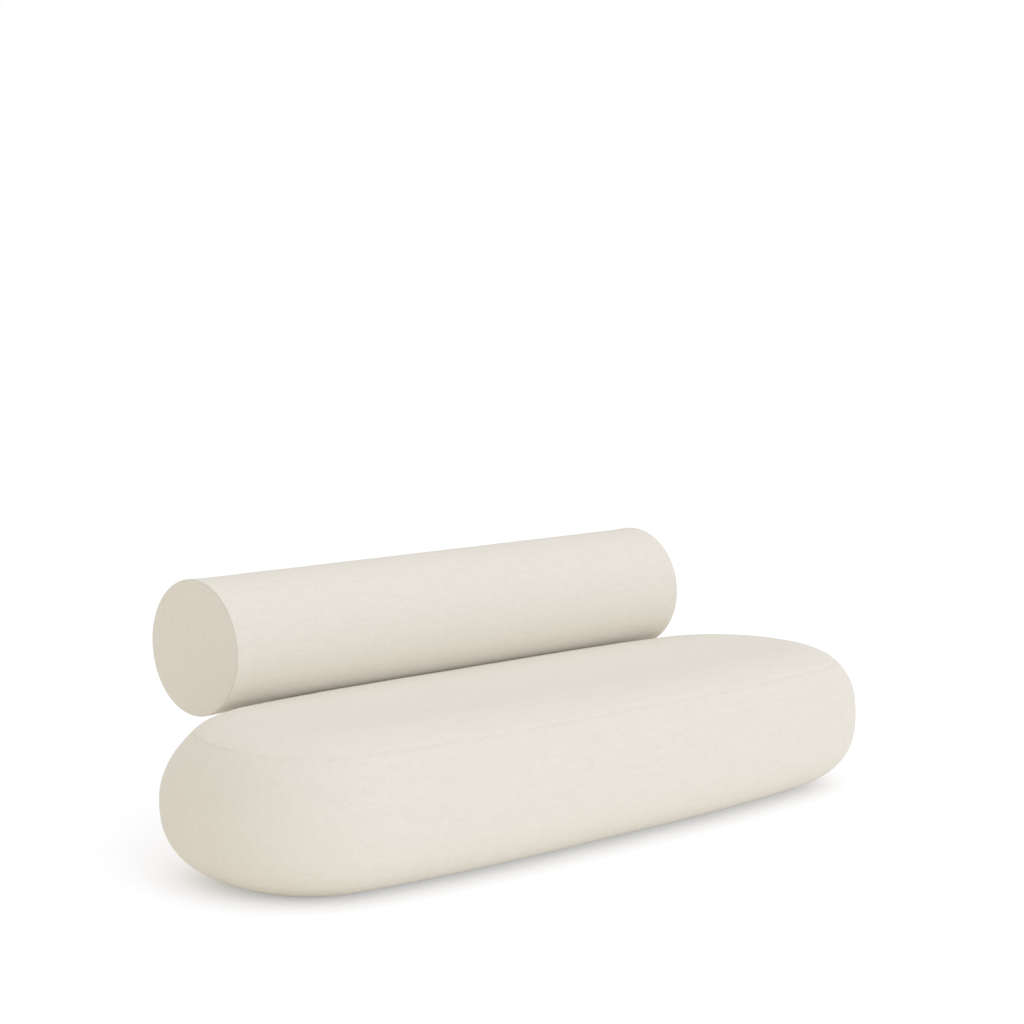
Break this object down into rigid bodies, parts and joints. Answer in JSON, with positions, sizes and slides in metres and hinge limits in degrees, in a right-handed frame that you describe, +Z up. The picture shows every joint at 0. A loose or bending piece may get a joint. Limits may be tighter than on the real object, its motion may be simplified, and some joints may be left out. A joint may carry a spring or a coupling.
{
  "type": "sofa",
  "caption": "Long pebble-shaped upholstered sofa seat with a straight round bolster back, felt-like covers sewn at the shoulder and the rims, for sitting side by side.",
  "frame": {"origin": "on the floor, under the middle of the whole sofa's outline", "axes": "+X along the sofa's length, +Y to the back where the bolster lies, +Z up"},
  "size_m": [2.4132, 1.0414, 0.7407],
  "materials": {
    "cover_felt": "cream wool felt, matte",
    "foam": "open-cell polyurethane foam",
    "wadding": "soft white fibre wadding",
    "plywood": "birch plywood, sanded",
    "timber": "planed softwood",
    "webbing": "woven elastic webbing",
    "dust_cloth": "black spunbond cloth",
    "glide_plastic": "matte moulded",
    "black_steel": "black powder coat",
    "zinc_steel": "zinc plated"
  },
  "bodies": {
    "root": {"base_board": "plywood", "base_screws": "zinc_steel", "bolster_core_tube": "black_steel", "bolster_foam": "foam", "bolster_sleeve": "cover_felt", "bolster_wadding": "wadding", "bracket_bolts": "zinc_steel", "bracket_nuts": "zinc_steel", "bracket_washers": "zinc_steel", "core_foam": "foam", "cross_rib_1": "timber", "cross_rib_2": "timber", "cross_rib_3": "timber", "cross_rib_4": "timber", "cross_strap_01": "webbing", "cross_strap_02": "webbing", "cross_strap_03": "webbing", "cross_strap_04": "webbing", "cross_strap_05": "webbing", "cross_strap_06": "webbing", "cross_strap_07": "webbing", "cross_strap_08": "webbing", "cross_strap_09": "webbing", "cross_strap_10": "webbing", "cross_strap_11": "webbing", "dust_cover": "dust_cloth", "flange_screws": "zinc_steel", "floor_glides": "glide_plastic", "front_rail": "timber", "glide_screws": "zinc_steel", "hem_staples": "zinc_steel", "left_bolster_cap": "cover_felt", "left_bracket": "black_steel", "left_end_disc": "plywood", "left_end_pad": "foam", "left_end_rail": "timber", "left_flange": "black_steel", "long_strap_1": "webbing", "long_strap_2": "webbing", "long_strap_3": "webbing", "middle_bracket": "black_steel", "rail_screws": "zinc_steel", "rear_rail": "timber", "right_bolster_cap": "cover_felt", "right_bracket": "black_steel", "right_end_disc": "plywood", "right_end_pad": "foam", "right_end_rail": "timber", "right_flange": "black_steel", "seat_side_cover": "cover_felt", "seat_top_cover": "cover_felt", "side_foam": "foam", "top_foam": "foam"}
  },
  "joints": []
}
